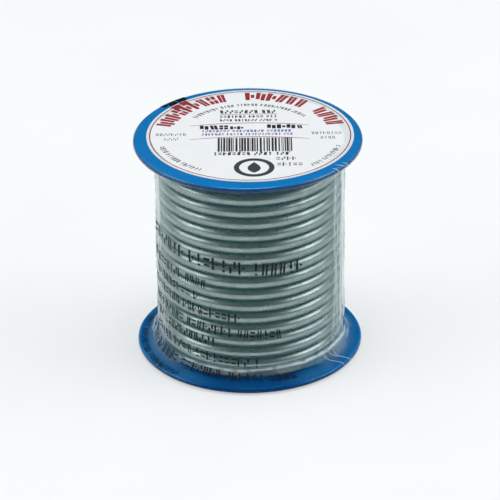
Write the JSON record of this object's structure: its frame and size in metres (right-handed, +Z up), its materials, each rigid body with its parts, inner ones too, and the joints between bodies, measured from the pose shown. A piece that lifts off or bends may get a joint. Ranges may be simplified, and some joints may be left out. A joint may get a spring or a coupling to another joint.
{
  "type": "solder wire spool",
  "caption": "Flanged plastic reel of thick solder wire, wound in four even layers, with a round label and a clear shrink film around it.",
  "frame": {"origin": "centre of the lower flange's resting face", "axes": "+Z up along the reel's axis, towards the labelled flange; +Y to the side where the wire steps from turn to turn; +X to the right"},
  "size_m": [0.0578, 0.0578, 0.0584],
  "materials": {
    "reel_plastic": "glossy blue moulded plastic",
    "solder": "satin tin-lead solder wire",
    "label_paper": "smooth printed paper",
    "clear_film": "clear glossy shrink film"
  },
  "bodies": {
    "root": {"upper_flange": "reel_plastic", "lower_flange": "reel_plastic", "core_barrel": "reel_plastic", "wire_layer_1": "solder", "wire_layer_2": "solder", "wire_layer_3": "solder", "wire_layer_4": "solder", "top_label": "label_paper", "shrink_sleeve": "clear_film"}
  },
  "joints": []
}
